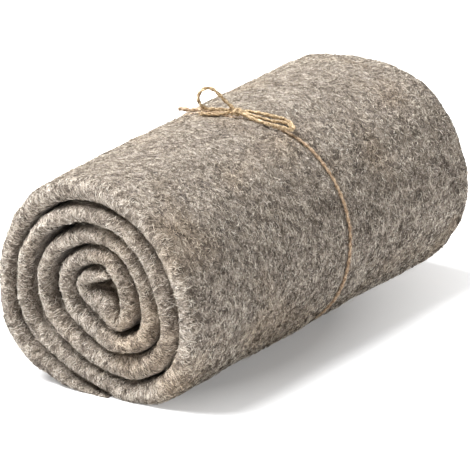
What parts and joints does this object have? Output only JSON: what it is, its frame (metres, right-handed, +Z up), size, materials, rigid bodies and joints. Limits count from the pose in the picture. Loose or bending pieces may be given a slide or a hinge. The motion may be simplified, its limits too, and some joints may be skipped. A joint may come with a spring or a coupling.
{
  "type": "roll of felt",
  "caption": "Loosely wound roll of thick grey wool felt with an open spiral end, tied round its middle with jute twine in a small bow.",
  "frame": {"origin": "on the surface that the roll rests on, under the middle of the roll and its band", "axes": "+Y along the roll, away from the spiral end that is seen in the picture, +Z up, +X towards the side that is seen"},
  "size_m": [0.1178, 0.2458, 0.1241],
  "materials": {
    "wool_felt": "matt, fibrous",
    "jute_twine": "matt, slightly glossy fibres"
  },
  "bodies": {
    "root": {"felt_roll": "wool_felt", "twine_band": "jute_twine", "twine_knot": "jute_twine", "twine_loop_standing": "jute_twine", "twine_loop_lying": "jute_twine", "twine_end_long": "jute_twine"}
  },
  "joints": []
}
